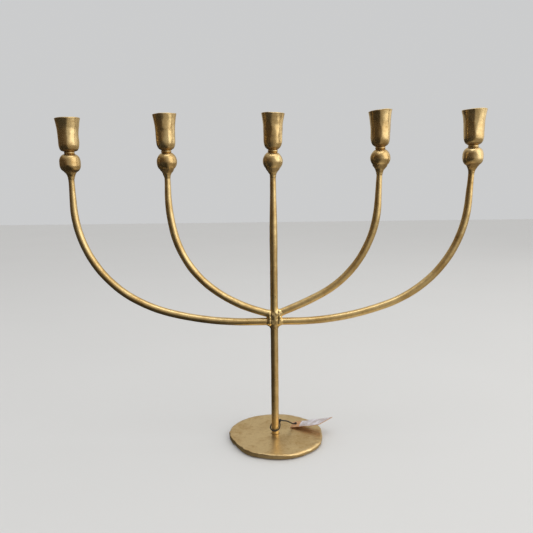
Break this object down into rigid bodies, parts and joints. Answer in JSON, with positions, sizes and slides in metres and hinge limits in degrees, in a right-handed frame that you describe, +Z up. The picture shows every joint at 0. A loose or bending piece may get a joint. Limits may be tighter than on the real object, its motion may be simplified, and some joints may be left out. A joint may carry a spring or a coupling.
{
  "type": "candelabrum",
  "caption": "Hand-forged brass menorah-style candelabrum: round foot, upright stem, curved arms from one hub, and a candle cup on a ball at each end.",
  "frame": {"origin": "on the stem's axis at the underside of the felt, where the part rests", "axes": "+Z up along the stem; +X to the right along the arms as seen from the front; +Y to the back"},
  "size_m": [0.5545, 0.13, 0.4457],
  "materials": {
    "rod_brass": "forged rod, antique brass, burnished with dark patina in the hollows",
    "cup_brass": "hammered, antique brass, burnished on the high spots",
    "base_brass": "satin, lightly hammered, duller than the rods",
    "braze": "lumpy brazed joint, antique brass",
    "steel": "zinc plated",
    "felt": "black wool felt",
    "kraft": "kraft card",
    "label": "blank off-white paper label",
    "cord": "thin black cord"
  },
  "bodies": {
    "stand": {"felt_pad": "felt", "base_plate": "base_brass", "base_screw": "steel", "stem": "rod_brass", "hub_braze": "braze", "arm_outer_left": "rod_brass", "arm_inner_left": "rod_brass", "arm_inner_right": "rod_brass", "arm_outer_right": "rod_brass", "ball_braze_outer_left": "braze", "ball_braze_inner_left": "braze", "ball_braze_centre": "braze", "ball_braze_inner_right": "braze", "ball_braze_outer_right": "braze", "ball_outer_left": "cup_brass", "ball_inner_left": "cup_brass", "ball_centre": "cup_brass", "ball_inner_right": "cup_brass", "ball_outer_right": "cup_brass", "neck_ring_outer_left": "cup_brass", "neck_ring_inner_left": "cup_brass", "neck_ring_centre": "cup_brass", "neck_ring_inner_right": "cup_brass", "neck_ring_outer_right": "cup_brass", "cup_outer_left": "cup_brass", "cup_inner_left": "cup_brass", "cup_centre": "cup_brass", "cup_inner_right": "cup_brass", "cup_outer_right": "cup_brass"},
    "cord_loop": {"tag_cord": "cord", "loop_knot": "cord"},
    "tag": {"tag": "kraft", "tag_label": "label", "tag_knot": "cord"}
  },
  "joints": [
    {"name": "cord_swivel", "type": "hinge", "parent": "stand", "child": "cord_loop", "pos_m": [0, 0, 0.02], "axis": [0, 0, 1], "continuous": true},
    {"name": "tag_lift", "type": "hinge", "parent": "cord_loop", "child": "tag", "pos_m": [0.0213, 0.016, 0.0084], "axis": [-0.2924, -0.9563, 0], "range_deg": [-12, 60], "deforming": ["tag_cord"]}
  ]
}
